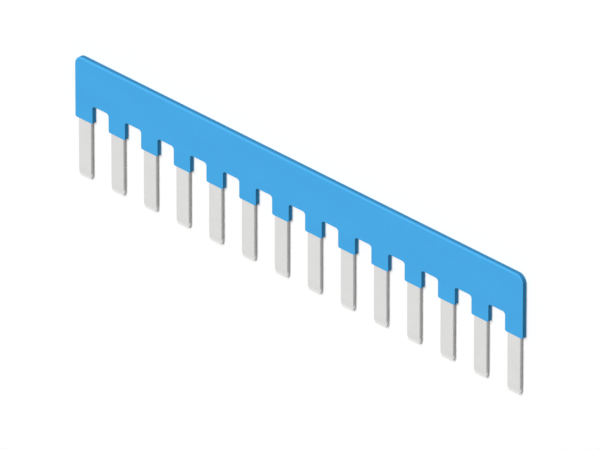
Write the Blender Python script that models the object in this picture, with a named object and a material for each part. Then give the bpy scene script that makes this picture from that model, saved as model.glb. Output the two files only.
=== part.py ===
"""Terminal jumper bridge: a stamped metal comb whose bus bar is moulded into a flat insulating comb.

Metres, +Z up. The bridge lies on its back: +X runs along its length, +Y from the blade tips to the
top edge, +Z out of the front face. The origin is the middle of the outline, on the plane that the
back rests on. Outlines are drawn in the XY plane from the line of the tooth ends, which is Y = 0.
"""

import math

import bmesh
import bpy
from mathutils import Euler, Matrix, Vector

MM = 0.001

# The terminals that are bridged
POLES = 14
PITCH = 6.2 * MM

# Metal comb: sheet, bus bar and blades
SHEET = 0.5 * MM
BAR_HEIGHT = 5.25 * MM
BAR_CORNER_RADIUS = 1.0 * MM
PILOT_HOLE_RADIUS = 0.8 * MM  # the strip is fed through its die by these, and the moulding grips them
ROOT_RADIUS = 0.3 * MM  # inner corners between the bar and the blades
BLADE_WIDTH = 2.34 * MM
BLADE_REACH = 8.85 * MM  # how far a blade stands out of its tooth
EDGE_ROLL = 0.03 * MM  # what stamping and plating leave of the sheet's edges

# Blade tips: coined thinner on both faces, with their corners cut off
TIP_THICKNESS = 0.25 * MM
TAPER_LENGTH = 1.45 * MM
TIP_CORNER_WIDTH = 0.22 * MM
TIP_CORNER_LENGTH = 0.75 * MM

# Insulating housing: walls round the bar, teeth round the blades, notches between the teeth
INSERT_CLEARANCE = 0.02 * MM
FACE_WALL = 0.095 * MM
SIDE_WALL = 0.37 * MM  # on either side of a blade, in its tooth
END_WALL = 0.51 * MM  # outside the first and the last blade
TOP_WALL = 0.87 * MM
NOTCH_WALL = 0.52 * MM  # between a notch and the bar
NOTCH_DEPTH = 2.81 * MM
TOP_CORNER_RADIUS = 1.3 * MM
NOTCH_CORNER_RADIUS = 0.45 * MM
TOOTH_CORNER_RADIUS = 0.25 * MM
GRIP_ROUND = 0.25 * MM  # rounded front edge along the top, where a finger pushes
EDGE_ROUND = 0.05 * MM  # what moulding leaves on all the other edges

# How finely curves are faceted
ARC_STEP = math.radians(12)
SHORT_ARC_STEP = math.radians(30)
SHORT_RADIUS = 0.5 * MM
ROUND_STEPS = 3
ROLL_STEPS = 1
HOLE_SEGMENTS = 16
SMOOTH_ANGLE = math.radians(35)

CUT_MARGIN = 1.0 * MM  # how far a cutting tool reaches past what it cuts

# Sizes that follow from those above
TOOTH_WIDTH = BLADE_WIDTH + 2 * (INSERT_CLEARANCE + SIDE_WALL)
BODY_THICKNESS = SHEET + 2 * (INSERT_CLEARANCE + FACE_WALL)
BAR_BOTTOM = NOTCH_DEPTH + NOTCH_WALL + INSERT_CLEARANCE
BAR_TOP = BAR_BOTTOM + BAR_HEIGHT
BODY_HEIGHT = BAR_TOP + INSERT_CLEARANCE + TOP_WALL
COMB_LENGTH = (POLES - 1) * PITCH + BLADE_WIDTH
BODY_LENGTH = COMB_LENGTH + 2 * (INSERT_CLEARANCE + END_WALL)
TIP_Y = -BLADE_REACH
POLE_PLACES = [(i - (POLES - 1) / 2) * PITCH for i in range(POLES)]


def clear_scene():
    for obj in list(bpy.data.objects):
        bpy.data.objects.remove(obj, do_unlink=True)


def new_collection(name):
    collection = bpy.data.collections.new(name)
    bpy.context.scene.collection.children.link(collection)
    return collection


def new_material(name, color, roughness, metallic):
    material = bpy.data.materials.new(name)
    material.use_nodes = True
    shader = material.node_tree.nodes["Principled BSDF"]
    shader.inputs["Base Color"].default_value = (*color, 1.0)
    shader.inputs["Roughness"].default_value = roughness
    shader.inputs["Metallic"].default_value = metallic
    material.diffuse_color = (*color, 1.0)
    return material


def corner(x, y, radius=0.0, rounding=0.0, rounding_after=None):
    """A corner of an outline: its place, its arc, and the rounding of the face edges that meet there."""
    after = rounding if rounding_after is None else rounding_after
    return Vector((x, y)), radius, rounding, after


def trace_outline(corners):
    """Turn corners listed anticlockwise into (point, outward, rounding) for each vertex of the outline."""
    traced = []
    for i, (place, radius, rounding, rounding_after) in enumerate(corners):
        before = corners[i - 1][0]
        after = corners[(i + 1) % len(corners)][0]
        heading = (place - before).normalized()
        leaving = (after - place).normalized()
        outward = Vector((heading.y, -heading.x))
        if radius == 0.0:
            outward_after = Vector((leaving.y, -leaving.x))
            miter = (outward + outward_after) / (1 + outward.dot(outward_after))
            traced.append((place, miter, rounding))
            continue
        turn = math.atan2(heading.cross(leaving), heading.dot(leaving))
        bulge = math.copysign(radius, turn)  # a corner that turns inwards has its centre outside
        centre = place - heading * radius * math.tan(abs(turn) / 2) - outward * bulge
        step = SHORT_ARC_STEP if radius < SHORT_RADIUS else ARC_STEP
        steps = max(1, math.ceil(abs(turn) / step - 1e-6))
        for k in range(steps + 1):
            share = k / steps
            normal = Matrix.Rotation(turn * share, 2) @ outward
            edge = rounding + (rounding_after - rounding) * share
            if turn > 0:
                edge = min(edge, 0.9 * radius)
            traced.append((centre + normal * bulge, normal, edge))
    return traced


def loft_plate(name, outline, thickness, steps=0, grow=0.0, back_limit=math.inf):
    """Loft an outline through its thickness, with face edges rounded in steps, and cap both faces.

    Edges of the back face are rounded by back_limit at most.
    """
    angles = [math.pi / 2 * k / max(steps, 1) for k in range(steps + 1)]
    levels = [(-1, a) for a in reversed(angles)] + [(1, a) for a in angles]
    bm = bmesh.new()
    rings = []
    for side, angle in levels:
        ring = []
        limit = min(0.45 * thickness, back_limit if side < 0 else math.inf)
        for point, outward, rounding in outline:
            edge = min(rounding, limit)
            flat = point - outward * (edge * (1 - math.cos(angle)) - grow)
            height = side * (thickness / 2 - edge * (1 - math.sin(angle)))
            ring.append(bm.verts.new((flat.x, flat.y, height)))
        rings.append(ring)
    for lower, upper in zip(rings, rings[1:]):
        for i in range(len(lower)):
            bm.faces.new((lower[i - 1], lower[i], upper[i], upper[i - 1]))
    bm.faces.new(list(reversed(rings[0])))
    bm.faces.new(rings[-1])
    return finish_mesh(name, bm)


def finish_mesh(name, bm):
    mesh = bpy.data.meshes.new(name)
    bm.to_mesh(mesh)
    bm.free()
    return mesh


def place_piece(name, mesh, material, collection, datum):
    mesh.shade_smooth()
    mesh.set_sharp_from_angle(angle=SMOOTH_ANGLE)
    mesh.materials.append(material)
    piece = bpy.data.objects.new(name, mesh)
    piece.parent = datum
    collection.objects.link(piece)
    return piece


def place_cutter(name, mesh, collection, datum):
    cutter = bpy.data.objects.new(name, mesh)
    cutter.parent = datum
    cutter.hide_render = True
    cutter.display_type = "WIRE"
    collection.objects.link(cutter)
    return cutter


def cut(piece, cutter):
    modifier = piece.modifiers.new("cut_" + cutter.name, "BOOLEAN")
    modifier.operation = "DIFFERENCE"
    modifier.solver = "EXACT"
    modifier.object = cutter


def comb_outline(roll):
    """The stamped strip: a bus bar with a blade hanging from it at each pole."""
    half = BLADE_WIDTH / 2
    corners = []
    for i, x in enumerate(POLE_PLACES):
        if i > 0:
            corners.append(corner(x - half, BAR_BOTTOM, ROOT_RADIUS, roll))
        corners += [
            corner(x - half, TIP_Y + TIP_CORNER_LENGTH, 0.0, roll),
            corner(x - half + TIP_CORNER_WIDTH, TIP_Y, 0.0, roll),
            corner(x + half - TIP_CORNER_WIDTH, TIP_Y, 0.0, roll),
            corner(x + half, TIP_Y + TIP_CORNER_LENGTH, 0.0, roll),
        ]
        if i < POLES - 1:
            corners.append(corner(x + half, BAR_BOTTOM, ROOT_RADIUS, roll))
    corners.append(corner(COMB_LENGTH / 2, BAR_TOP, BAR_CORNER_RADIUS, roll))
    corners.append(corner(-COMB_LENGTH / 2, BAR_TOP, BAR_CORNER_RADIUS, roll))
    return trace_outline(corners)


def body_outline():
    """The moulded body: rounded upper corners, a tooth round each blade and a notch between teeth."""
    half = TOOTH_WIDTH / 2
    end = BODY_LENGTH / 2
    corners = [corner(-end, 0.0, TOOTH_CORNER_RADIUS, EDGE_ROUND)]
    for x, next_x in zip(POLE_PLACES, POLE_PLACES[1:]):
        corners += [
            corner(x + half, 0.0, TOOTH_CORNER_RADIUS, EDGE_ROUND),
            corner(x + half, NOTCH_DEPTH, NOTCH_CORNER_RADIUS, EDGE_ROUND),
            corner(next_x - half, NOTCH_DEPTH, NOTCH_CORNER_RADIUS, EDGE_ROUND),
            corner(next_x - half, 0.0, TOOTH_CORNER_RADIUS, EDGE_ROUND),
        ]
    corners += [
        corner(end, 0.0, TOOTH_CORNER_RADIUS, EDGE_ROUND),
        corner(end, BODY_HEIGHT, TOP_CORNER_RADIUS, EDGE_ROUND, GRIP_ROUND),
        corner(-end, BODY_HEIGHT, TOP_CORNER_RADIUS, GRIP_ROUND, EDGE_ROUND),
    ]
    return trace_outline(corners)


def round_bars(radius):
    """A cylinder through the sheet at each pole, half way up the bus bar."""
    bm = bmesh.new()
    for x in POLE_PLACES:
        bmesh.ops.create_cone(
            bm,
            cap_ends=True,
            segments=HOLE_SEGMENTS,
            radius1=radius,
            radius2=radius,
            depth=SHEET + 2 * CUT_MARGIN,
            matrix=Matrix.Translation((x, (BAR_BOTTOM + BAR_TOP) / 2, 0.0)),
        )
    return bm


def coining_die(side):
    """A block whose working face is the taper that it presses on one face of all the blade tips."""
    slope = math.atan2((SHEET - TIP_THICKNESS) / 2, TAPER_LENGTH)
    size = Vector((COMB_LENGTH + 2 * CUT_MARGIN, 2 * (TAPER_LENGTH + CUT_MARGIN), 2 * SHEET))
    place = Vector((0.0, TIP_Y, side * TIP_THICKNESS / 2))
    turn = Euler((side * slope, 0.0, 0.0)).to_matrix().to_4x4()
    lift = Matrix.Translation((0.0, 0.0, side * size.z / 2))
    bm = bmesh.new()
    bmesh.ops.create_cube(bm, size=1.0)
    bmesh.ops.scale(bm, vec=size, verts=bm.verts)
    bmesh.ops.transform(bm, matrix=Matrix.Translation(place) @ turn @ lift, verts=bm.verts)
    return bm


def make_contact_comb(parts, cutters, datum):
    """Stamp the strip, punch its pilot holes, then coin the blade tips from both faces."""
    tin = new_material("tin_plated_copper", (0.74, 0.74, 0.73), 0.38, 1.0)
    mesh = loft_plate("contact_comb", comb_outline(EDGE_ROLL), SHEET, ROLL_STEPS)
    comb = place_piece("contact_comb", mesh, tin, parts, datum)
    punches = finish_mesh("pilot_punches", round_bars(PILOT_HOLE_RADIUS))
    cut(comb, place_cutter("pilot_punches", punches, cutters, datum))
    for name, side in (("front_coining_die", 1), ("back_coining_die", -1)):
        die = finish_mesh(name, coining_die(side))
        cut(comb, place_cutter(name, die, cutters, datum))


def make_insulating_housing(parts, cutters, datum):
    """Mould the body, with the comb's pocket inside it and a plastic post through each pilot hole."""
    blue = new_material("blue_thermoplastic", (0.067, 0.402, 0.783), 0.45, 0.0)
    mesh = loft_plate(
        "insulating_housing", body_outline(), BODY_THICKNESS, ROUND_STEPS, back_limit=EDGE_ROUND
    )
    housing = place_piece("insulating_housing", mesh, blue, parts, datum)
    pocket_mesh = loft_plate(
        "insert_pocket", comb_outline(0.0), SHEET + 2 * INSERT_CLEARANCE, grow=INSERT_CLEARANCE
    )
    pocket = place_cutter("insert_pocket", pocket_mesh, cutters, datum)
    posts = finish_mesh("keying_posts", round_bars(PILOT_HOLE_RADIUS - INSERT_CLEARANCE))
    cut(pocket, place_cutter("keying_posts", posts, cutters, datum))
    cut(housing, pocket)


def main():
    clear_scene()
    parts = new_collection("terminal_jumper_bridge")
    cutters = new_collection("cutters")
    datum = bpy.data.objects.new("bridge_datum", None)
    datum.location = (0.0, (BLADE_REACH - BODY_HEIGHT) / 2, BODY_THICKNESS / 2)
    parts.objects.link(datum)
    make_contact_comb(parts, cutters, datum)
    make_insulating_housing(parts, cutters, datum)


main()
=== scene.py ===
import math

import bpy
import numpy as np
from mathutils import Matrix, Vector
from mathutils.geometry import delaunay_2d_cdt


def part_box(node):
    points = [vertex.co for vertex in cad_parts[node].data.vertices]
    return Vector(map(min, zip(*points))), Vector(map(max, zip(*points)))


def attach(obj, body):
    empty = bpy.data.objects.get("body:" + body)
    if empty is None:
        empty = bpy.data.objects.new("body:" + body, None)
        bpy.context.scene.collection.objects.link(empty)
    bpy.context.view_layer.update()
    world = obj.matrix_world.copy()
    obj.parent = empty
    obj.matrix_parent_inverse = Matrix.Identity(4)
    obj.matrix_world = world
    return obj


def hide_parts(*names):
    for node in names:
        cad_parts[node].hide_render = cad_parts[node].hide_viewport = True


# Terminal jumper bridge: a stamped, tin plated comb in a blue moulding, lying on its back.
# +X runs along the row of blades, +Y from the blade tips to the top edge, +Z out of the front face.

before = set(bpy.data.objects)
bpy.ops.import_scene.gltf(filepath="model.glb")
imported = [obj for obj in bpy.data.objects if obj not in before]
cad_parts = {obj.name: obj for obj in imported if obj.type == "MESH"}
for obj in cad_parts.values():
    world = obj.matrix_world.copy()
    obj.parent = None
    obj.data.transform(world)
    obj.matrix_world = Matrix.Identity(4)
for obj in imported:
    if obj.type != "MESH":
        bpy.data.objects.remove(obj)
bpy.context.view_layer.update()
mm = 0.001

bodyLow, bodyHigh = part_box("insulating_housing")
combLow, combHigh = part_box("contact_comb")
midZ = (bodyLow.z + bodyHigh.z) / 2

row = {
    "poles": 14,
    "bladeWidth": 2.34 * mm,
    "clearance": 0.02 * mm,  # between the metal and its moulding
    "pilotRadius": 0.8 * mm,  # holes in the bar, hidden in the moulding, with a plastic post through each
    "pilotPoints": 32,
}
pitch = (combHigh.x - combLow.x - row["bladeWidth"]) / (row["poles"] - 1)
poleX = (np.arange(row["poles"]) - (row["poles"] - 1) / 2) * pitch
print("frame loaded, body", [round(v / mm, 2) for v in bodyHigh - bodyLow], "mm")


# Camera: a long lens in place of the photo's parallel view

camera = {
    "azimuth": 45,  # degrees to the right of the front face
    "elevation": 30,  # degrees above it, towards the top edge
    "lens": 1200,  # mm
    "sensor": 36,  # mm
    "clip": (0.1, 20),  # m
    "image": (600, 450),  # px
    "pxPerMetre": 7528,  # of the photo
    "anchor": Vector((0, bodyLow.y, bodyHigh.z)),  # middle of the tooth ends, on the front face
    "anchorPx": (296.7, 226.7),  # where the photo shows the anchor
}


def placeCamera(c):
    # back points from the object to the camera; distance = lens in px / px per metre
    az, el = math.radians(c["azimuth"]), math.radians(c["elevation"])
    back = Vector((math.sin(az) * math.cos(el), math.sin(el), math.cos(az) * math.cos(el)))
    right = Vector((0, 1, 0)).cross(back).normalized()
    up = back.cross(right)
    offX = (c["anchorPx"][0] - c["image"][0] / 2) / c["pxPerMetre"]
    offY = (c["image"][1] / 2 - c["anchorPx"][1]) / c["pxPerMetre"]
    lensPx = c["lens"] / c["sensor"] * c["image"][0]
    aim = c["anchor"] - right * offX - up * offY
    data = bpy.data.cameras.new("photoCamera")
    data.lens = c["lens"]
    data.sensor_width = c["sensor"]
    data.clip_start, data.clip_end = c["clip"]
    obj = bpy.data.objects.new("photoCamera", data)
    turn = Matrix((right, up, back)).transposed().to_4x4()
    obj.matrix_world = Matrix.Translation(aim + back * lensPx / c["pxPerMetre"]) @ turn
    bpy.context.scene.collection.objects.link(obj)
    bpy.context.scene.camera = obj


placeCamera(camera)
print("camera placed")


# Surfaces: rows of points, bands of quads between the rows, and flat regions filled with triangles

surfaces = {
    "sharpFrom": math.radians(38),  # edges that bend more than this stay sharp
    "fillKind": 1,  # the triangulation gives only what lies inside its edges
    "fillMerge": 1e-7,  # mm, the triangulation merges points this close
    "rimShare": 0.9,  # a rim takes at most this share of an arc's radius
    "runSlack": 1e-6,  # keeps rounding from splitting a run that just fits
    "onLine": 1e-7,  # m, a point this near a line lies on it
}


def newShell():
    return {"points": [], "faces": [], "count": 0, "values": {}}


def addPoints(shell, xyz, **values):
    # adds a grid of points and gives back their indices in the same grid
    size = xyz.size // 3
    first = shell["count"]
    shell["points"].append(xyz.reshape(-1, 3))
    shell["count"] += size
    for name, value in values.items():
        spread = np.broadcast_to(value, xyz.shape[:-1]).reshape(-1)
        shell["values"].setdefault(name, []).append((first, spread))
    return np.arange(first, first + size).reshape(xyz.shape[:-1])


def addBands(shell, grid, keep=True, flip=False):
    # quads between neighbouring rows of a grid, each row closed on itself
    after = np.roll(grid, -1, 1)
    quads = np.stack([grid[:-1], after[:-1], after[1:], grid[1:]], -1)
    quads = quads[np.broadcast_to(keep, quads.shape[:2])]
    shell["faces"].append(quads[:, ::-1] if flip else quads)


def addFill(shell, axes, loops, extra=(), flip=False):
    # triangles inside the first loop and outside the others, on the plane of the two axes
    used = np.concatenate([*loops, *extra])
    flat = np.concatenate(shell["points"])[used][:, axes] / mm
    edges, first = [], 0
    for loop in loops:
        index = np.arange(first, first + len(loop))
        edges += np.stack([index, np.roll(index, -1)], 1).tolist()
        first += len(loop)
    settings = surfaces["fillKind"], surfaces["fillMerge"]
    _, _, corners, origins, *_ = delaunay_2d_cdt(flat.tolist(), edges, [], *settings)
    tris = np.array([origin[0] for origin in origins])[np.array(corners)]
    member = np.arange(len(loops) + len(extra)).repeat([len(part) for part in (*loops, *extra)])[tris]
    # a hole is convex, so all the corners of what fills it are its own
    inHole = (member == member[:, :1]).all(1) & (member[:, 0] > 0) & (member[:, 0] < len(loops))
    tris = used[tris[~inHole]]
    shell["faces"].append(tris[:, ::-1] if flip else tris)


def shellPiece(shell, name):
    # all the points and faces as one mesh, with each value as an attribute of the points
    points = np.concatenate(shell["points"])
    mesh = bpy.data.meshes.new(name)
    mesh.from_pydata(points, [], [face for part in shell["faces"] for face in part.tolist()])
    for label, parts in shell["values"].items():
        column = np.zeros(len(points), np.float32)
        for first, spread in parts:
            column[first:first + len(spread)] = spread
        mesh.attributes.new(label, "FLOAT", "POINT").data.foreach_set("value", column)
    mesh.shade_smooth()
    mesh.set_sharp_from_angle(angle=surfaces["sharpFrom"])
    piece = bpy.data.objects.new(name, mesh)
    bpy.context.scene.collection.objects.link(piece)
    return piece


def traceOutline(corners, arcStep, longestRun=math.inf):
    # corners run anticlockwise: x, y, arc radius, rim before, rim after
    # arc: point = centre + radius * outward, while outward turns evenly from one edge's normal to the next
    table = np.array(corners, float)
    xy = table[:, :2]
    heading = xy - np.roll(xy, 1, 0)
    heading /= np.linalg.norm(heading, axis=1)[:, None]
    leaving = np.roll(heading, -1, 0)
    cross = heading[:, 0] * leaving[:, 1] - heading[:, 1] * leaving[:, 0]
    turn = np.arctan2(cross, (heading * leaving).sum(1))
    arcs = []
    for place, along, bend, (radius, rimIn, rimOut) in zip(xy, heading, turn, table[:, 2:]):
        outward = np.array([along[1], -along[0]])
        if radius == 0:
            cos, sin = math.cos(bend), math.sin(bend)
            turned = np.array([[cos, -sin], [sin, cos]]) @ outward
            miter = (outward + turned) / (1 + outward @ turned)
            arcs.append((place[None], miter[None], np.array([rimIn])))
            continue
        bulge = math.copysign(radius, bend)
        share = np.linspace(0, 1, max(2, math.ceil(abs(bend) / arcStep) + 1))
        angle = math.atan2(outward[1], outward[0]) + bend * share
        normal = np.stack([np.cos(angle), np.sin(angle)], 1)
        centre = place - along * radius * math.tan(abs(bend) / 2) - outward * bulge
        rim = rimIn + (rimOut - rimIn) * share
        if bend > 0:
            rim = np.minimum(rim, surfaces["rimShare"] * radius)
        arcs.append((centre + normal * bulge, normal, rim))
    points, normals, rims = [], [], []
    for arc, following in zip(arcs, arcs[1:] + arcs[:1]):
        reach = following[0][0] - arc[0][-1]
        length = np.linalg.norm(reach)
        pieces = max(1, math.ceil(length / longestRun - surfaces["runSlack"]))
        share = np.linspace(0, 1, pieces + 1)[1:-1, None]
        side = np.array([reach[1], -reach[0]]) / length
        points += [arc[0], arc[0][-1] + reach * share]
        normals += [arc[1], np.repeat(side[None], len(share), 0)]
        rims += [arc[2], np.full(len(share), arc[2][-1])]
    return np.concatenate(points), np.concatenate(normals), np.concatenate(rims)


def rimRows(outline, halfAt, rows, backLimit=math.inf):
    # rows run from the back face round the side to the front face; each has five numbers, for
    # z = a * half thickness + b * rim + c, and inset = d * rim + e; behind, rim is backLimit at most
    point, outward, rim = outline
    a, b, c, d, e = np.array(rows, float).T[:, :, None]
    rim = np.where(a < 0, np.minimum(rim, backLimit), rim)
    flat = point - outward * (d * rim + e)[..., None]
    z = a * halfAt(flat[..., 1]) + b * rim + c
    return np.concatenate([flat, midZ + z[..., None]], -1)


def clearPoints(grid, loop, gap, circles=()):
    # keeps the points that lie inside the loop, at least a gap away from its edges and from the circles
    start, end = loop, np.roll(loop, -1, 0)
    edge = end - start
    px, py = grid[:, None, 0], grid[:, None, 1]
    rise = np.where(edge[:, 1] == 0, 1, edge[:, 1])
    crossing = (start[:, 1] > py) != (end[:, 1] > py)
    left = px < start[:, 0] + (py - start[:, 1]) * edge[:, 0] / rise
    inside = (crossing & left).sum(1) % 2 == 1
    share = np.clip(((grid[:, None] - start) * edge).sum(2) / (edge ** 2).sum(1), 0, 1)
    nearest = np.linalg.norm(grid[:, None] - start - edge * share[..., None], axis=2).min(1)
    keep = inside & (nearest > gap)
    for circle in circles:
        middle = circle.mean(0)
        radius = np.linalg.norm(circle[0] - middle)
        keep &= np.linalg.norm(grid - middle, axis=1) > radius + gap
    return grid[keep]


def staggeredGrid(low, high, spacing):
    # rows of points a spacing apart, every other row moved by half a spacing
    xs = np.arange(low[0], high[0], spacing)
    ys = np.arange(low[1], high[1], spacing * math.sqrt(3) / 2)
    gx, gy = np.meshgrid(xs, ys)
    moved = gx + (np.arange(len(ys)) % 2)[:, None] * spacing / 2
    return np.stack([moved.ravel(), gy.ravel()], 1)


def lift(flat, z):
    # the same points at height z
    return np.concatenate([flat, np.broadcast_to(z, flat.shape[:-1])[..., None]], -1)


# Contact comb: one sheet, stamped from the front, then coined thinner at the blade tips

comb = {
    "rootRadius": 0.3 * mm,
    "barCornerRadius": 1.0 * mm,
    "barHeight": 5.25 * mm,
    "tipThickness": 0.25 * mm,
    "taperLength": 1.45 * mm,
    "taperSoftness": 0.08 * mm,  # how gently the sheet bends into the coined taper
    "taperLean": 0.6,  # 0 thins both faces alike, 1 thins the back alone
    "tipCornerWidth": 0.22 * mm,
    "tipCornerLength": 0.5 * mm,
    "tipCornerRadius": 0.12 * mm,
    "dieRoll": 0.045 * mm,  # rounding that stamping leaves along the front edges
    "tipRoll": 0.075 * mm,  # the same along the coined tips
    "rollAngles": np.radians([0, 22.5, 45, 67.5, 90]),
    "rollFade": [0.7, 0.4, 0.1, 0],  # how the look of a cut edge ends, over the last rows of the roll
    "burnished": 0.4,  # share of the cut edge that the punch sheared, before the rest broke away
    "breakInset": 0.014 * mm,  # how far the broken part falls back
    "breakRows": ((-0.5, 0.7), (0, 0.15), (0.12, 0)),  # height from the break line, share of the inset
    "burrRound": 0.012 * mm,
    "burrAngles": np.radians([90, 45, 0]),
    "burrFade": [0, 0.3],  # how that look begins, over the first rows behind
    "support": 0.03 * mm,  # flat row next to each rim
    "gridSpacing": 0.55 * mm,
    "gridGap": 0.2 * mm,  # kept free along the edges
    "creaseRows": np.array([-2, -1, -0.4, 0.4, 1, 2]),  # times the taper's softness
    "creaseReach": 0.42,  # of a blade's width, to each side
    "creasePoints": 8,
    "creaseGap": 0.03 * mm,
    "creaseFree": 3,  # no grid within this many softnesses of the crease
    "arcStep": math.radians(9),
    "longestRun": 0.8 * mm,
}
sheetHalf = (combHigh.z - combLow.z) / 2
taperY = combLow.y + comb["taperLength"]
barTop = combHigh.y
barBottom = barTop - comb["barHeight"]


def combCorners(bladeEnd, grow=0.0, withTips=True):
    # the bar with a blade at each pole, anticlockwise from the first blade, grown outwards by grow
    half = row["bladeWidth"] / 2 + grow
    root = comb["rootRadius"] - grow
    end, cut, length = comb["tipCornerRadius"], comb["tipCornerWidth"], comb["tipCornerLength"]
    roll, tipRoll = comb["dieRoll"], comb["tipRoll"]
    corners = []
    for i, x in enumerate(poleX):
        if i > 0:
            corners.append((x - half, barBottom - grow, root, roll, roll))
        if withTips:
            corners += [
                (x - half, taperY, 0, roll, roll),
                (x - half, bladeEnd + length, end, roll, tipRoll),
                (x - half + cut, bladeEnd, end, tipRoll, tipRoll),
                (x + half - cut, bladeEnd, end, tipRoll, tipRoll),
                (x + half, bladeEnd + length, end, tipRoll, roll),
                (x + half, taperY, 0, roll, roll),
            ]
        else:
            corners += [(x - half, bladeEnd, 0, roll, roll), (x + half, bladeEnd, 0, roll, roll)]
        if i < len(poleX) - 1:
            corners.append((x + half, barBottom - grow, root, roll, roll))
    edge, top, corner = poleX[-1] + half, barTop + grow, comb["barCornerRadius"] + grow
    return corners + [(edge, top, corner, roll, roll), (-edge, top, corner, roll, roll)]


def pilotCircles(radius):
    # centre + radius * (cos, sin) of equal steps, at each pole in the middle of the bar
    angle = np.arange(row["pilotPoints"]) * 2 * math.pi / row["pilotPoints"]
    steps = np.stack([np.cos(angle), np.sin(angle)], 1)
    return [np.array([x, (barTop + barBottom) / 2]) + radius * steps for x in poleX]


def combHalf(y):
    # half thickness = half the sheet - slope * (d + sqrt(d * d + softness * softness)) / 2,
    # where d is the distance below the line at which the taper starts
    slope = (sheetHalf - comb["tipThickness"] / 2) / comb["taperLength"]
    below = taperY - y
    return sheetHalf - slope * (below + np.sqrt(below ** 2 + comb["taperSoftness"] ** 2)) / 2


def makeComb():
    # the outline swept through the sheet: a burr, radius * (1 - cos, 1 - sin), the broken part set back
    # behind the break line, the sheared part, and the rolled front edge, radius * (1 - cos, sin - 1)
    c = comb
    inset, burr, breakLine = c["breakInset"], c["burrRound"], 1 - 2 * c["burnished"]
    rows = [(-1, 0, 0, 0, inset + burr + c["support"])]
    for t in c["burrAngles"]:
        rows.append((-1, 0, burr * (1 - math.sin(t)), 0, inset + burr * (1 - math.cos(t))))
    rows += [(breakLine + height, 0, 0, 0, inset * share) for height, share in c["breakRows"]]
    rows += [(1, math.sin(t) - 1, 0, 1 - math.cos(t), 0) for t in c["rollAngles"]]
    rows += [(1, 0, 0, 1, c["support"])]
    whole = len(rows) - len(c["burrFade"]) - len(c["rollFade"])
    cut = np.array(c["burrFade"] + [1] * whole + c["rollFade"])[:, None]

    shell = newShell()
    outline = traceOutline(combCorners(combLow.y), c["arcStep"], c["longestRun"])
    places = rimRows(outline, combHalf, rows)
    through = (places[..., 2] - midZ) / sheetHalf  # -1 at the back face, 1 at the front face
    rim = addPoints(shell, places, cut=cut, through=through)
    addBands(shell, rim)

    # faces: a loose grid, and close rows of points on each blade where the taper starts
    grid = staggeredGrid((combLow.x, combLow.y), (combHigh.x, barTop), c["gridSpacing"])
    grid = grid[np.abs(grid[:, 1] - taperY) > c["creaseFree"] * c["taperSoftness"]]
    across = np.linspace(-c["creaseReach"], c["creaseReach"], c["creasePoints"]) * row["bladeWidth"]
    creaseX = (poleX[:, None] + across).ravel()
    creaseX, creaseY = np.meshgrid(creaseX, taperY + c["creaseRows"] * c["taperSoftness"])
    crease = np.stack([creaseX.ravel(), creaseY.ravel()], 1)
    circles = pilotCircles(row["pilotRadius"])
    holes = {}
    for side, end in ((-1, 0), (1, -1)):  # the back face fills the first row, the front face the last
        loop = places[end, :, :2]
        loose = clearPoints(grid, loop, c["gridGap"], circles)
        flat = np.concatenate([loose, clearPoints(crease, loop, c["creaseGap"])])
        inner = addPoints(shell, lift(flat, midZ + side * combHalf(flat[:, 1])), cut=0, through=side)
        rings = [lift(circle, midZ + side * sheetHalf) for circle in circles]
        holes[side] = [addPoints(shell, ring, cut=1, through=side) for ring in rings]
        addFill(shell, [0, 1], [rim[end]] + holes[side], [inner], flip=side < 0)
    for back, front in zip(holes[-1], holes[1]):
        addBands(shell, np.stack([back, front]), flip=True)
    for part in shell["points"]:
        part[:, 2] += c["taperLean"] * (sheetHalf - combHalf(part[:, 1]))
    return shellPiece(shell, "stamped_comb")


# Insulating housing: a flat moulding with a tooth round each blade and a notch between teeth

housing = {
    "sideWall": 0.37 * mm,  # beside a blade, in its tooth
    "notchDepth": 2.81 * mm,
    "topCornerRadius": 1.3 * mm,
    "notchCornerRadius": 0.45 * mm,
    "toothCornerRadius": 0.25 * mm,
    "gripRound": 0.25 * mm,  # rounded front edge along the top
    "edgeRound": 0.05 * mm,  # all the other edges
    "rimSteps": 6,
    "support": 0.04 * mm,  # flat row next to each rim
    "supportWear": 0.6,  # how far wear reaches over that row
    "sideWear": 0.25,  # and over the side
    "partingRidge": 0.006 * mm,  # fine line where the two mould halves meet
    "partingWidth": 0.015 * mm,
    "partingRows": (-2, -1, 0, 1, 2),  # times the width; the ridge is on the middle one
    "partingFacing": -0.7,  # no ridge where the outline faces further down, on the tooth ends
    "gridSpacing": 0.9 * mm,
    "gridGap": 0.3 * mm,  # kept free along the edges
    "arcStep": math.radians(7.5),
    "longestRun": 2.8 * mm,  # longer than a tooth's end, which stays one run
}


def housingCorners():
    h = housing
    edge, grip = h["edgeRound"], h["gripRound"]
    top, small, root = h["topCornerRadius"], h["toothCornerRadius"], h["notchCornerRadius"]
    half = row["bladeWidth"] / 2 + row["clearance"] + h["sideWall"]
    bottom, notch = bodyLow.y, bodyLow.y + h["notchDepth"]
    corners = [(bodyLow.x, bottom, small, edge, edge)]
    for x, following in zip(poleX, poleX[1:]):
        corners += [
            (x + half, bottom, small, edge, edge),
            (x + half, notch, root, edge, edge),
            (following - half, notch, root, edge, edge),
            (following - half, bottom, small, edge, edge),
        ]
    return corners + [
        (bodyHigh.x, bottom, small, edge, edge),
        (bodyHigh.x, bodyHigh.y, top, edge, grip),
        (bodyLow.x, bodyHigh.y, top, grip, edge),
    ]


def alongBottom(point):
    # marks the points that start a run along the tooth ends
    low = point[:, 1] < bodyLow.y + surfaces["onLine"]
    return low & np.roll(low, -1)


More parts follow.
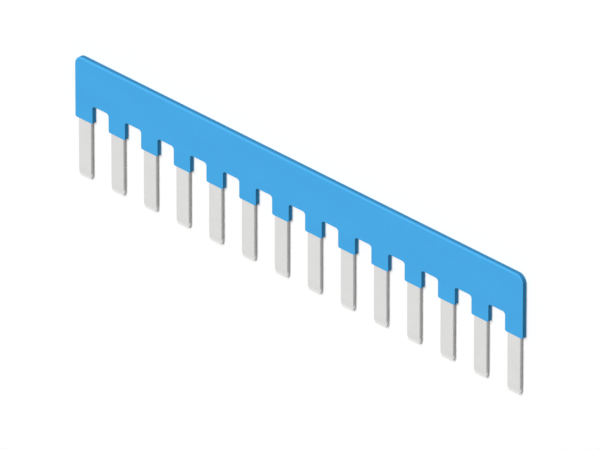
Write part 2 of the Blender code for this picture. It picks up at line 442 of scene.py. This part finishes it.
def makeHousing():
    # the outline swept through the plate: edges are quarter circles, radius * (1 - cos, sin - 1),
    # with the parting line standing proud half way through
    h = housing
    halfThick = bodyHigh.z - midZ
    angles = np.radians(np.linspace(90, 0, h["rimSteps"] + 1))
    front = [(1, 0, 0, 1, h["support"])]
    front += [(1, math.sin(t) - 1, 0, 1 - math.cos(t), 0) for t in angles]
    back = [(-a, -b, c, d, e) for a, b, c, d, e in front]
    middle = [(0, 0, step * h["partingWidth"], 0, 0) for step in h["partingRows"]]
    rows = back + middle + front[::-1]
    # these rim values place edge wear and the painted highlight that goes with it
    halfWorn = [0, h["supportWear"]] + [1] * h["rimSteps"]
    worn = np.array(halfWorn + [h["sideWear"]] * len(middle) + halfWorn[::-1])[:, None]

    shell = newShell()
    outline = traceOutline(housingCorners(), h["arcStep"], h["longestRun"])
    point, outward = outline[:2]
    places = rimRows(outline, lambda y: halfThick, rows, h["edgeRound"])
    first, last = len(back) - 1, len(back) + len(middle)
    ridgeRow = len(back) + len(middle) // 2
    beside = [i for i in range(first, last + 1) if i != ridgeRow]
    places[beside, :, :2] -= outward * np.where(outward[:, 1:] > h["partingFacing"], h["partingRidge"], 0)
    rim = addPoints(shell, places, rim=worn)

    # tooth ends: each run along the bottom that is as wide as a slot has the slot cut in it
    ends = alongBottom(point) & (np.linalg.norm(np.roll(point, -1, 0) - point, axis=1) > row["bladeWidth"])
    keep = np.ones((len(rows) - 1, len(point)), bool)
    keep[first:last, ends] = False
    addBands(shell, rim, keep)

    # pocket: the comb's own outline, grown by the clearance and open at the tooth ends
    grow = row["clearance"]
    pocket = traceOutline(combCorners(bodyLow.y, grow, False), comb["arcStep"])[0]
    pocketHalf = sheetHalf + grow
    heights = midZ + np.array([[-pocketHalf], [pocketHalf]])
    walls = addPoints(shell, lift(np.stack([pocket, pocket]), heights))
    mouths = alongBottom(pocket)
    addBands(shell, walls, ~mouths, flip=True)
    for start, mouth in zip(np.flatnonzero(ends), np.flatnonzero(mouths)):
        after, mouthAfter = (start + 1) % len(point), (mouth + 1) % len(pocket)
        outer = np.concatenate([rim[first:last + 1, after], rim[first:last + 1, start][::-1]])
        inner = np.array([walls[0, mouth], walls[0, mouthAfter], walls[1, mouthAfter], walls[1, mouth]])
        addFill(shell, [0, 2], [outer, inner])

    # faces, and the pocket's floor and roof with the posts between them
    circles = pilotCircles(row["pilotRadius"] - grow)
    posts = {}
    for side, end in ((-1, 0), (1, -1)):
        loop = places[end, :, :2]
        grid = clearPoints(staggeredGrid(loop.min(0), loop.max(0), h["gridSpacing"]), loop, h["gridGap"])
        inner = addPoints(shell, lift(grid, midZ + side * halfThick))
        addFill(shell, [0, 1], [rim[end]], [inner], flip=side < 0)
        posts[side] = [addPoints(shell, lift(circle, midZ + side * pocketHalf)) for circle in circles]
        addFill(shell, [0, 1], [walls[end]] + posts[side], flip=side > 0)
    for low, high in zip(posts[-1], posts[1]):
        addBands(shell, np.stack([low, high]))
    return shellPiece(shell, "moulded_housing")


# Shader nodes

def addNode(tree, kind, inputs=(), **settings):
    # inputs: socket name or number with its value, or with the socket that feeds it
    node = tree.nodes.new("ShaderNode" + kind)
    for key, value in settings.items():
        setattr(node, key, value)
    for key, value in dict(inputs).items():
        if isinstance(value, bpy.types.NodeSocket):
            tree.links.new(value, node.inputs[key])
        else:
            node.inputs[key].default_value = value
    return node.outputs


def maths(tree, operation, *values, clamp=False):
    return addNode(tree, "Math", enumerate(values), operation=operation, use_clamp=clamp)[0]


def lessened(tree, value, mask, amount, clamp=False):
    # value - mask * amount
    return maths(tree, "SUBTRACT", value, maths(tree, "MULTIPLY", mask, amount), clamp=clamp)


def weighted(tree, first, second, share):
    # first * share + second * (1 - share)
    first = maths(tree, "MULTIPLY", first, share)
    return maths(tree, "ADD", first, maths(tree, "MULTIPLY", second, 1 - share))


def ramp(tree, value, low, high, toLow=0.0, toHigh=1.0, kind="SMOOTHSTEP"):
    # runs from toLow to toHigh while the value goes from low to high
    sockets = {"Value": value, "From Min": low, "From Max": high, "To Min": toLow, "To Max": toHigh}
    return addNode(tree, "MapRange", sockets, interpolation_type=kind)["Result"]


def noise(tree, vector, scale=1.0, detail=3.0, roughness=0.6):
    sockets = {"Vector": vector, "Scale": scale, "Detail": detail, "Roughness": roughness}
    return addNode(tree, "TexNoise", sockets)["Fac"]


def stretched(tree, vector, scale):
    return addNode(tree, "VectorMath", {0: vector, 1: scale}, operation="MULTIPLY")["Vector"]


def inSizes(tree, vector, sizes):
    # the vector with each part counted in its own size
    return stretched(tree, vector, tuple(1 / size for size in sizes))


def turned(tree, vector, degrees):
    # the vector turned about Z, so that marks along its X run at that angle on the piece
    sockets = {"Vector": vector, "Angle": math.radians(-degrees)}
    return addNode(tree, "VectorRotate", sockets, rotation_type="Z_AXIS")["Vector"]


def mixColors(tree, factor, first, second):
    # a Mix node's color sockets have numbers of their own: 6 and 7 go in, 2 comes out
    return addNode(tree, "Mix", {0: factor, 6: first, 7: second}, data_type="RGBA")[2]


def shade(color, factor=1.0, added=0.0):
    # the color as a socket wants it, lighter or darker
    return (*[min(1, channel * factor + added) for channel in color], 1)


def bump(tree, shader, height, distance):
    normal = addNode(tree, "Bump", {"Height": height, "Distance": distance})["Normal"]
    tree.links.new(normal, shader.inputs["Normal"])


# Shader node groups: they put out only heights, masks and tones

def newGroup(name, inputs, outputs):
    tree = bpy.data.node_groups.new(name, "ShaderNodeTree")
    for label, kind in inputs.items():
        tree.interface.new_socket(label, in_out="INPUT", socket_type="NodeSocket" + kind)
    for label in outputs:
        tree.interface.new_socket(label, in_out="OUTPUT", socket_type="NodeSocketFloat")
    return tree, tree.nodes.new("NodeGroupInput").outputs, tree.nodes.new("NodeGroupOutput").inputs


def grainGroup():
    # Height: pits one Size across with finer grain in them. Tone: patches several sizes across.
    tree, given, put = newGroup("surfaceGrain", {"Vector": "Vector", "Size": "Float"}, ["Height", "Tone"])
    finer, coarser, pitShare = 1.7, 0.11, 0.6  # scales, times that of the pits, and the pits' share
    perSize = maths(tree, "DIVIDE", 1.0, given["Size"])
    pits = {"Vector": given["Vector"], "Scale": perSize, "Smoothness": 0.6}
    pits = addNode(tree, "TexVoronoi", pits, feature="SMOOTH_F1")["Distance"]
    fine = noise(tree, given["Vector"], maths(tree, "MULTIPLY", perSize, finer))
    tree.links.new(maths(tree, "MULTIPLY_ADD", pits, pitShare, fine), put["Height"])
    patches = noise(tree, given["Vector"], maths(tree, "MULTIPLY", perSize, coarser), roughness=0.55)
    tree.links.new(patches, put["Tone"])
    return tree


def wearGroup():
    # Worn: where an Edge mask meets uneven handling. Cover is how much of the edge is touched, from 0 to 1.
    sockets = {"Vector": "Vector", "Edge": "Float", "Size": "Float", "Cover": "Float"}
    tree, given, put = newGroup("edgeWear", sockets, ["Worn"])
    span, least = 0.8, -0.65  # what full and no Cover add to the unevenness
    falloff, full = 1.5, 0.25  # away from the edge, and where the mask reaches 1
    uneven = noise(tree, given["Vector"], maths(tree, "DIVIDE", 1.0, given["Size"]), 4, 0.65)
    reach = maths(tree, "ADD", uneven, maths(tree, "MULTIPLY_ADD", given["Cover"], span, least))
    touched = maths(tree, "MULTIPLY", reach, maths(tree, "POWER", given["Edge"], falloff))
    tree.links.new(ramp(tree, touched, 0.0, full), put["Worn"])
    return tree


def marksGroup():
    # Marks: streaks along X of the vector, Length long and Width across, over a share Cover of the surface
    sockets = {"Vector": "Vector", "Length": "Float", "Width": "Float", "Cover": "Float"}
    tree, given, put = newGroup("handlingMarks", sockets, ["Marks"])
    none, span, soft = 0.72, -0.3, 0.07  # threshold without Cover, what Cover adds to it, and its softness
    along = maths(tree, "DIVIDE", 1.0, given["Length"])
    across = maths(tree, "DIVIDE", 1.0, given["Width"])
    scale = addNode(tree, "CombineXYZ", {"X": along, "Y": across, "Z": across})["Vector"]
    streak = noise(tree, stretched(tree, given["Vector"], scale), detail=2)
    threshold = maths(tree, "MULTIPLY_ADD", given["Cover"], span, none)
    tree.links.new(ramp(tree, streak, threshold, maths(tree, "ADD", threshold, soft)), put["Marks"])
    return tree


grain, wear, marks = grainGroup(), wearGroup(), marksGroup()


def emptyTree(owner):
    # the node tree of a material or a world, without the nodes it comes with
    owner.use_nodes = True
    owner.node_tree.nodes.clear()
    return owner.node_tree


def newMaterial(name):
    material = bpy.data.materials.new(name)
    tree = emptyTree(material)
    shader = tree.nodes.new("ShaderNodeBsdfPrincipled")
    addNode(tree, "OutputMaterial", {"Surface": shader.outputs["BSDF"]})
    return material, tree, shader, addNode(tree, "TexCoord")["Object"]


# Blue thermoplastic: satin from a spark-eroded mould, a little glossier where edges are handled, and
# lighter there: partly wear, partly a painted highlight along the edges

bluePlastic = {
    "color": (0.065, 0.395, 0.778),
    "specular": 0.03,
    "roughness": (0.44, 0.54),
    "grainSize": 0.09 * mm,
    "grainDepth": 0.01 * mm,
    "flowSize": (16 * mm, 3.5 * mm, 3 * mm),  # long along the row as the melt ran
    "flowShare": 0.6,  # of the patches' tone; the grain gives the rest
    "flowRange": (0.3, 0.7),
    "patches": (0.98, 1.02),  # darkest and lightest, times the color
    "worn": {"Size": 1.4 * mm, "Cover": 0.62},
    "wornLiftAndHighlight": (1.3, 0.015),  # the color times the first, plus the second: lighter edges, partly wear and partly a painted highlight
    "wornAndHighlightShare": 0.5,
    "wornPolish": 0.08,
    "wornGrain": 0.6,  # share of the grain that wear takes off
    "scuffAngle": 24,  # degrees
    "scuffs": {"Length": 5 * mm, "Width": 0.05 * mm, "Cover": 0.12},
    "scuffPolish": 0.05,
    "scuffDepth": 0.5,
}


def makeBluePlastic(p):
    material, tree, shader, place = newMaterial("blue_thermoplastic")
    shader.inputs["Specular IOR Level"].default_value = p["specular"]
    rim = addNode(tree, "Attribute", attribute_name="rim")["Fac"]
    grained = addNode(tree, "Group", {"Vector": place, "Size": p["grainSize"]}, node_tree=grain)
    worn = addNode(tree, "Group", {"Vector": place, "Edge": rim, **p["worn"]}, node_tree=wear)["Worn"]
    sockets = {"Vector": turned(tree, place, p["scuffAngle"]), **p["scuffs"]}
    scuffs = addNode(tree, "Group", sockets, node_tree=marks)["Marks"]

    flow = noise(tree, inSizes(tree, place, p["flowSize"]), roughness=0.5)
    tone = ramp(tree, weighted(tree, flow, grained["Tone"], p["flowShare"]), *p["flowRange"])
    base = mixColors(tree, tone, *[shade(p["color"], factor) for factor in p["patches"]])
    # edges lighter where worn: partly wear, partly a painted highlight along the edges
    wornAndHighlightColor = shade(p["color"], *p["wornLiftAndHighlight"])
    color = mixColors(tree, maths(tree, "MULTIPLY", worn, p["wornAndHighlightShare"]), base, wornAndHighlightColor)
    tree.links.new(color, shader.inputs["Base Color"])

    rough = ramp(tree, grained["Tone"], *p["flowRange"], *p["roughness"])
    rough = lessened(tree, rough, worn, p["wornPolish"])
    rough = lessened(tree, rough, scuffs, p["scuffPolish"], clamp=True)
    tree.links.new(rough, shader.inputs["Roughness"])

    left = lessened(tree, 1.0, worn, p["wornGrain"])
    height = lessened(tree, maths(tree, "MULTIPLY", grained["Height"], left), scuffs, p["scuffDepth"])
    bump(tree, shader, height, p["grainDepth"])
    return material


# Tin plate: cloudy matte plating over rolled sheet, ironed at the tips, sheared and torn on its cut edges;
# painted shade darkens the cut edges and the tapers, and a painted highlight lightens the tips

tinPlate = {
    "color": (0.745, 0.742, 0.734),
    "roughness": (0.36, 0.5),
    "grainSize": 0.045 * mm,
    "grainDepth": 0.002 * mm,
    "cloudSize": 2.2 * mm,
    "cloudShare": 0.55,  # of the tone; the grain gives the rest
    "cloudRange": (0.32, 0.68),
    "clouds": (0.965, 1.03),  # darkest and lightest, times the color
    "rollLines": (6 * mm, 0.04 * mm, 0.04 * mm),  # long along the strip
    "rollRange": (0.35, 0.75),
    "rollShare": 0.35,
    "rollShade": 0.93,
    "rollDepth": 0.5,
    "coinedReach": (0.05 * mm, -0.1 * mm),  # from the line where the taper starts
    # painted shade over the coined taper, standing in for its tilt
    "taperPaintedShade": 0.96,
    "coinedPolish": 0.06,
    "wipeReach": (3.5 * mm, 1.4 * mm),  # marks of earlier insertions, height above the tips
    "wipes": {"Length": 2.4 * mm, "Width": 0.035 * mm, "Cover": 0.45},
    "wipeShare": 0.35,
    "wipeShade": 1.1,
    "wipePolish": 0.1,
    "wipeDepth": 0.7,
    "tipHighlightReach": (0.6 * mm, 0.2 * mm),  # the very ends are lighter, a painted highlight
    "tipHighlightShade": 1.09,
    # cut edges darker than the faces: partly their rougher finish, partly painted shade of the sides
    "cutFinishAndShade": (0.57, 0.567, 0.562),
    "cutRoughness": 0.5,
    "cutMetallic": 0.6,
    "shearLines": (0.06 * mm, 0.06 * mm, 1.2 * mm),  # long through the sheet
    "shearRange": (0.3, 0.7),
    "shearShades": (0.9, 1.12),
    # torn part darker still: rougher finish and painted shade
    "tornFinishAndShade": (0.52, 0.517, 0.512),
    "tornRoughness": 0.68,
    "tearSize": 0.4 * mm,
    "tearWander": 0.24,  # of half the sheet, how far the break line wanders
    "tearBlur": 0.05,
    "pressedReach": (1.1 * mm, 0.65 * mm),  # the cut edges are ironed too, height above the tips
    "pressedHighlight": 0.5,  # how far a painted highlight brings them up to the faces' color
}


def makeTinPlate(p):
    material, tree, shader, place = newMaterial("tin_plated_copper")
    cut = addNode(tree, "Attribute", attribute_name="cut")["Fac"]
    through = addNode(tree, "Attribute", attribute_name="through")["Fac"]
    high = addNode(tree, "SeparateXYZ", {"Vector": place})["Y"]
    grained = addNode(tree, "Group", {"Vector": place, "Size": p["grainSize"]}, node_tree=grain)
    color, tip = p["color"], combLow.y

    # plated faces: soft clouds, then faint rolling lines
    clouds = noise(tree, place, 1 / p["cloudSize"], 4)
    tone = weighted(tree, clouds, grained["Tone"], p["cloudShare"])
    face = ramp(tree, tone, *p["cloudRange"])
    face = mixColors(tree, face, *[shade(color, factor) for factor in p["clouds"]])
    rolled = noise(tree, inSizes(tree, place, p["rollLines"]))
    lines = ramp(tree, rolled, *p["rollRange"], 0.0, p["rollShare"])
    face = mixColors(tree, lines, face, shade(color, p["rollShade"]))

    # coined tips are ironed smooth and darker with painted shade, wipe marks run along the blade, and the
    # ends are lighter with a painted highlight
    coined = ramp(tree, high, *[taperY + reach for reach in p["coinedReach"]])
    # the taper darker: painted shade
    face = mixColors(tree, coined, face, shade(color, p["taperPaintedShade"]))
    nearTip = ramp(tree, high, *[tip + reach for reach in p["wipeReach"]])
    sockets = {"Vector": turned(tree, place, 90), **p["wipes"]}
    wiped = maths(tree, "MULTIPLY", addNode(tree, "Group", sockets, node_tree=marks)["Marks"], nearTip)
    wipes = maths(tree, "MULTIPLY", wiped, p["wipeShare"])
    face = mixColors(tree, wipes, face, shade(color, p["wipeShade"]))
    # the very ends lighter: painted highlight of the tip bevel
    tipHighlightMask = ramp(tree, high, *[tip + reach for reach in p["tipHighlightReach"]])
    face = mixColors(tree, tipHighlightMask, face, shade(color, p["tipHighlightShade"]))

    # cut edges: sheared smooth with lines through the sheet, then torn and dull, darker partly by painted
    # shade; ironed at the tips, where a painted highlight lightens them
    sheared = ramp(tree, noise(tree, inSizes(tree, place, p["shearLines"]), detail=2), *p["shearRange"])
    sheared = mixColors(tree, sheared, *[shade(p["cutFinishAndShade"], factor) for factor in p["shearShades"]])
    breakLine = 1 - 2 * comb["burnished"] - p["tearWander"] / 2
    uneven = noise(tree, place, 1 / p["tearSize"])
    wander = maths(tree, "MULTIPLY_ADD", uneven, p["tearWander"], breakLine)
    torn = ramp(tree, maths(tree, "SUBTRACT", wander, through), -p["tearBlur"], p["tearBlur"])
    edge = mixColors(tree, torn, sheared, shade(p["tornFinishAndShade"]))
    # cut edges near the tips: ironed finish, and lighter with a painted highlight
    pressed = ramp(tree, high, *[tip + reach for reach in p["pressedReach"]])
    edge = mixColors(tree, maths(tree, "MULTIPLY", pressed, p["pressedHighlight"]), edge, shade(color))
    tree.links.new(mixColors(tree, cut, face, edge), shader.inputs["Base Color"])

    rough = ramp(tree, tone, *p["cloudRange"], *p["roughness"])
    rough = lessened(tree, rough, coined, p["coinedPolish"])
    rough = lessened(tree, rough, wiped, p["wipePolish"])
    edgeRough = ramp(tree, torn, 0, 1, p["cutRoughness"], p["tornRoughness"], "LINEAR")
    rough = maths(tree, "MULTIPLY_ADD", maths(tree, "SUBTRACT", edgeRough, rough), cut, rough)
    tree.links.new(rough, shader.inputs["Roughness"])
    bare = maths(tree, "MULTIPLY", cut, maths(tree, "SUBTRACT", 1.0, pressed))
    tree.links.new(ramp(tree, bare, 0, 1, 1.0, p["cutMetallic"], "LINEAR"), shader.inputs["Metallic"])

    height = maths(tree, "MULTIPLY_ADD", rolled, p["rollDepth"], grained["Height"])
    height = lessened(tree, height, wiped, p["wipeDepth"])
    height = maths(tree, "MULTIPLY_ADD", maths(tree, "MULTIPLY", torn, cut), grained["Height"], height)
    bump(tree, shader, height, p["grainDepth"])
    return material


materials = {
    "blue_thermoplastic": makeBluePlastic(bluePlastic),
    "tin_plated_copper": makeTinPlate(tinPlate),
}
print("materials made")

for piece, node, slot in (
    (makeComb(), "contact_comb", "tin_plated_copper"),
    (makeHousing(), "insulating_housing", "blue_thermoplastic"),
):
    piece.data.materials.append(materials[slot])
    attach(piece, "root")
    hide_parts(node)
    print(piece.name, "made,", len(piece.data.polygons), "faces")


# Studio: a white floor that keeps the shadow, soft sun lamps and a white surround

studio = {
    "floorSize": 3.0,
    "floorDrop": 0.01 * mm,
    "seenFloor": 1.0,  # what the camera and reflections see
    "bounceFloor": 0.16,  # what lights the sides of the object
    "surround": 0.18,  # strength for all rays that don't see the background itself
    "lamps": {
        "key": {"from": (0.09, 0.44, 0.88), "level": 0.774, "spread": 50},
        "rim": {"from": (-0.2, 0.3, 0.93), "level": 0.14, "spread": 14},
    },
}


def seenDirectly(tree):
    # 1 for camera, glossy and transmission rays
    path = addNode(tree, "LightPath")
    seen = maths(tree, "MAXIMUM", path["Is Camera Ray"], path["Is Glossy Ray"])
    return maths(tree, "MAXIMUM", seen, path["Is Transmission Ray"])


def makeStudio(s):
    size, down = s["floorSize"] / 2, -s["floorDrop"]
    mesh = bpy.data.meshes.new("floor")
    corners = [(-size, -size, down), (size, -size, down), (size, size, down), (-size, size, down)]
    mesh.from_pydata(corners, [], [(0, 1, 2, 3)])
    floor = bpy.data.objects.new("floor", mesh)
    bpy.context.scene.collection.objects.link(floor)
    material = bpy.data.materials.new("white_floor")
    tree = emptyTree(material)
    seen = addNode(tree, "BsdfDiffuse", {"Color": (*[s["seenFloor"]] * 3, 1)})["BSDF"]
    bounce = addNode(tree, "BsdfDiffuse", {"Color": (*[s["bounceFloor"]] * 3, 1)})["BSDF"]
    surface = addNode(tree, "MixShader", {0: seenDirectly(tree), 1: bounce, 2: seen})["Shader"]
    addNode(tree, "OutputMaterial", {"Surface": surface})
    mesh.materials.append(material)

    world = bpy.data.worlds.new("whiteSurround")
    bpy.context.scene.world = world
    tree = emptyTree(world)
    strength = ramp(tree, seenDirectly(tree), 0, 1, s["surround"], 1.0, "LINEAR")
    background = addNode(tree, "Background", {"Color": (1, 1, 1, 1), "Strength": strength})["Background"]
    addNode(tree, "OutputWorld", {"Surface": background})

    for name, lamp in s["lamps"].items():
        data = bpy.data.lights.new(name, "SUN")
        data.energy = lamp["level"] * math.pi  # a white surface facing it then renders at that level
        data.angle = math.radians(lamp["spread"])
        obj = bpy.data.objects.new(name, data)
        obj.rotation_mode = "QUATERNION"
        obj.rotation_quaternion = Vector(lamp["from"]).to_track_quat("Z", "Y")
        obj.visible_glossy = False  # metal mirrors the white surround alone, at its own color
        bpy.context.scene.collection.objects.link(obj)


makeStudio(studio)
bpy.context.scene.view_settings.view_transform = "Standard"
print("studio made")
